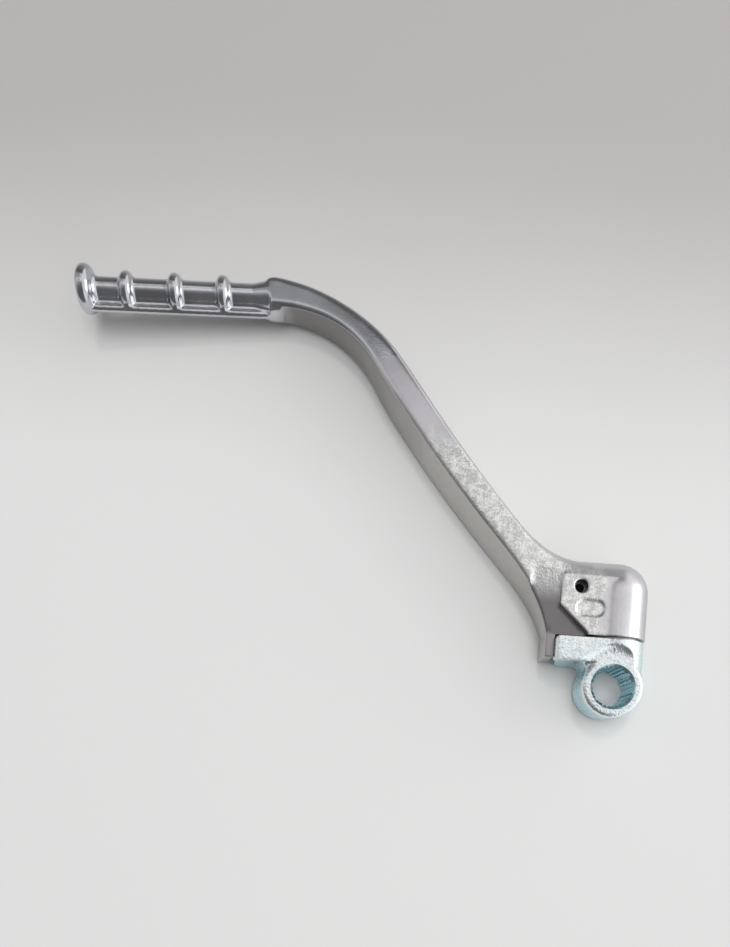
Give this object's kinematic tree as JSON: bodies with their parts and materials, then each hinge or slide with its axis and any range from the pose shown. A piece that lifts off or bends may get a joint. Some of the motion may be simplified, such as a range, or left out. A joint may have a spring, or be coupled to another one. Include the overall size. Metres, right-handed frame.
{
  "type": "kick start lever",
  "caption": "Folding kick start lever: a bent arm with a ribbed foot peg that turns on a knuckle with a splined eye and a stop flange.",
  "frame": {"origin": "centre of the splined bore at the eye's engine side face", "axes": "+Z along the bore towards the engine, +Y along the fold axis from the eye to the arm's head, +X away from the peg"},
  "size_m": [0.2433, 0.173, 0.0275],
  "materials": {
    "cast_alloy": "satin",
    "plated_steel": "zinc plated",
    "bronze": "plain",
    "washer_steel": "plain",
    "seal_rubber": "matt",
    "ball_steel": "polished",
    "spring_steel": "oiled",
    "plug_alloy": "plain"
  },
  "bodies": {
    "knuckle": {"splined_knuckle": "plated_steel", "thrust_washer": "washer_steel"},
    "lever": {"lever_arm": "cast_alloy", "lower_bush": "bronze", "upper_bush": "bronze", "seal_ring": "seal_rubber", "detent_ball": "ball_steel", "detent_spring": "spring_steel", "spring_pin": "spring_steel", "drill_plug": "plug_alloy"}
  },
  "joints": [
    {"name": "fold", "type": "hinge", "parent": "knuckle", "child": "lever", "pos_m": [0.001, 0, -0.0105], "axis": [0, -1, 0], "range_deg": [0, 90]}
  ]
}
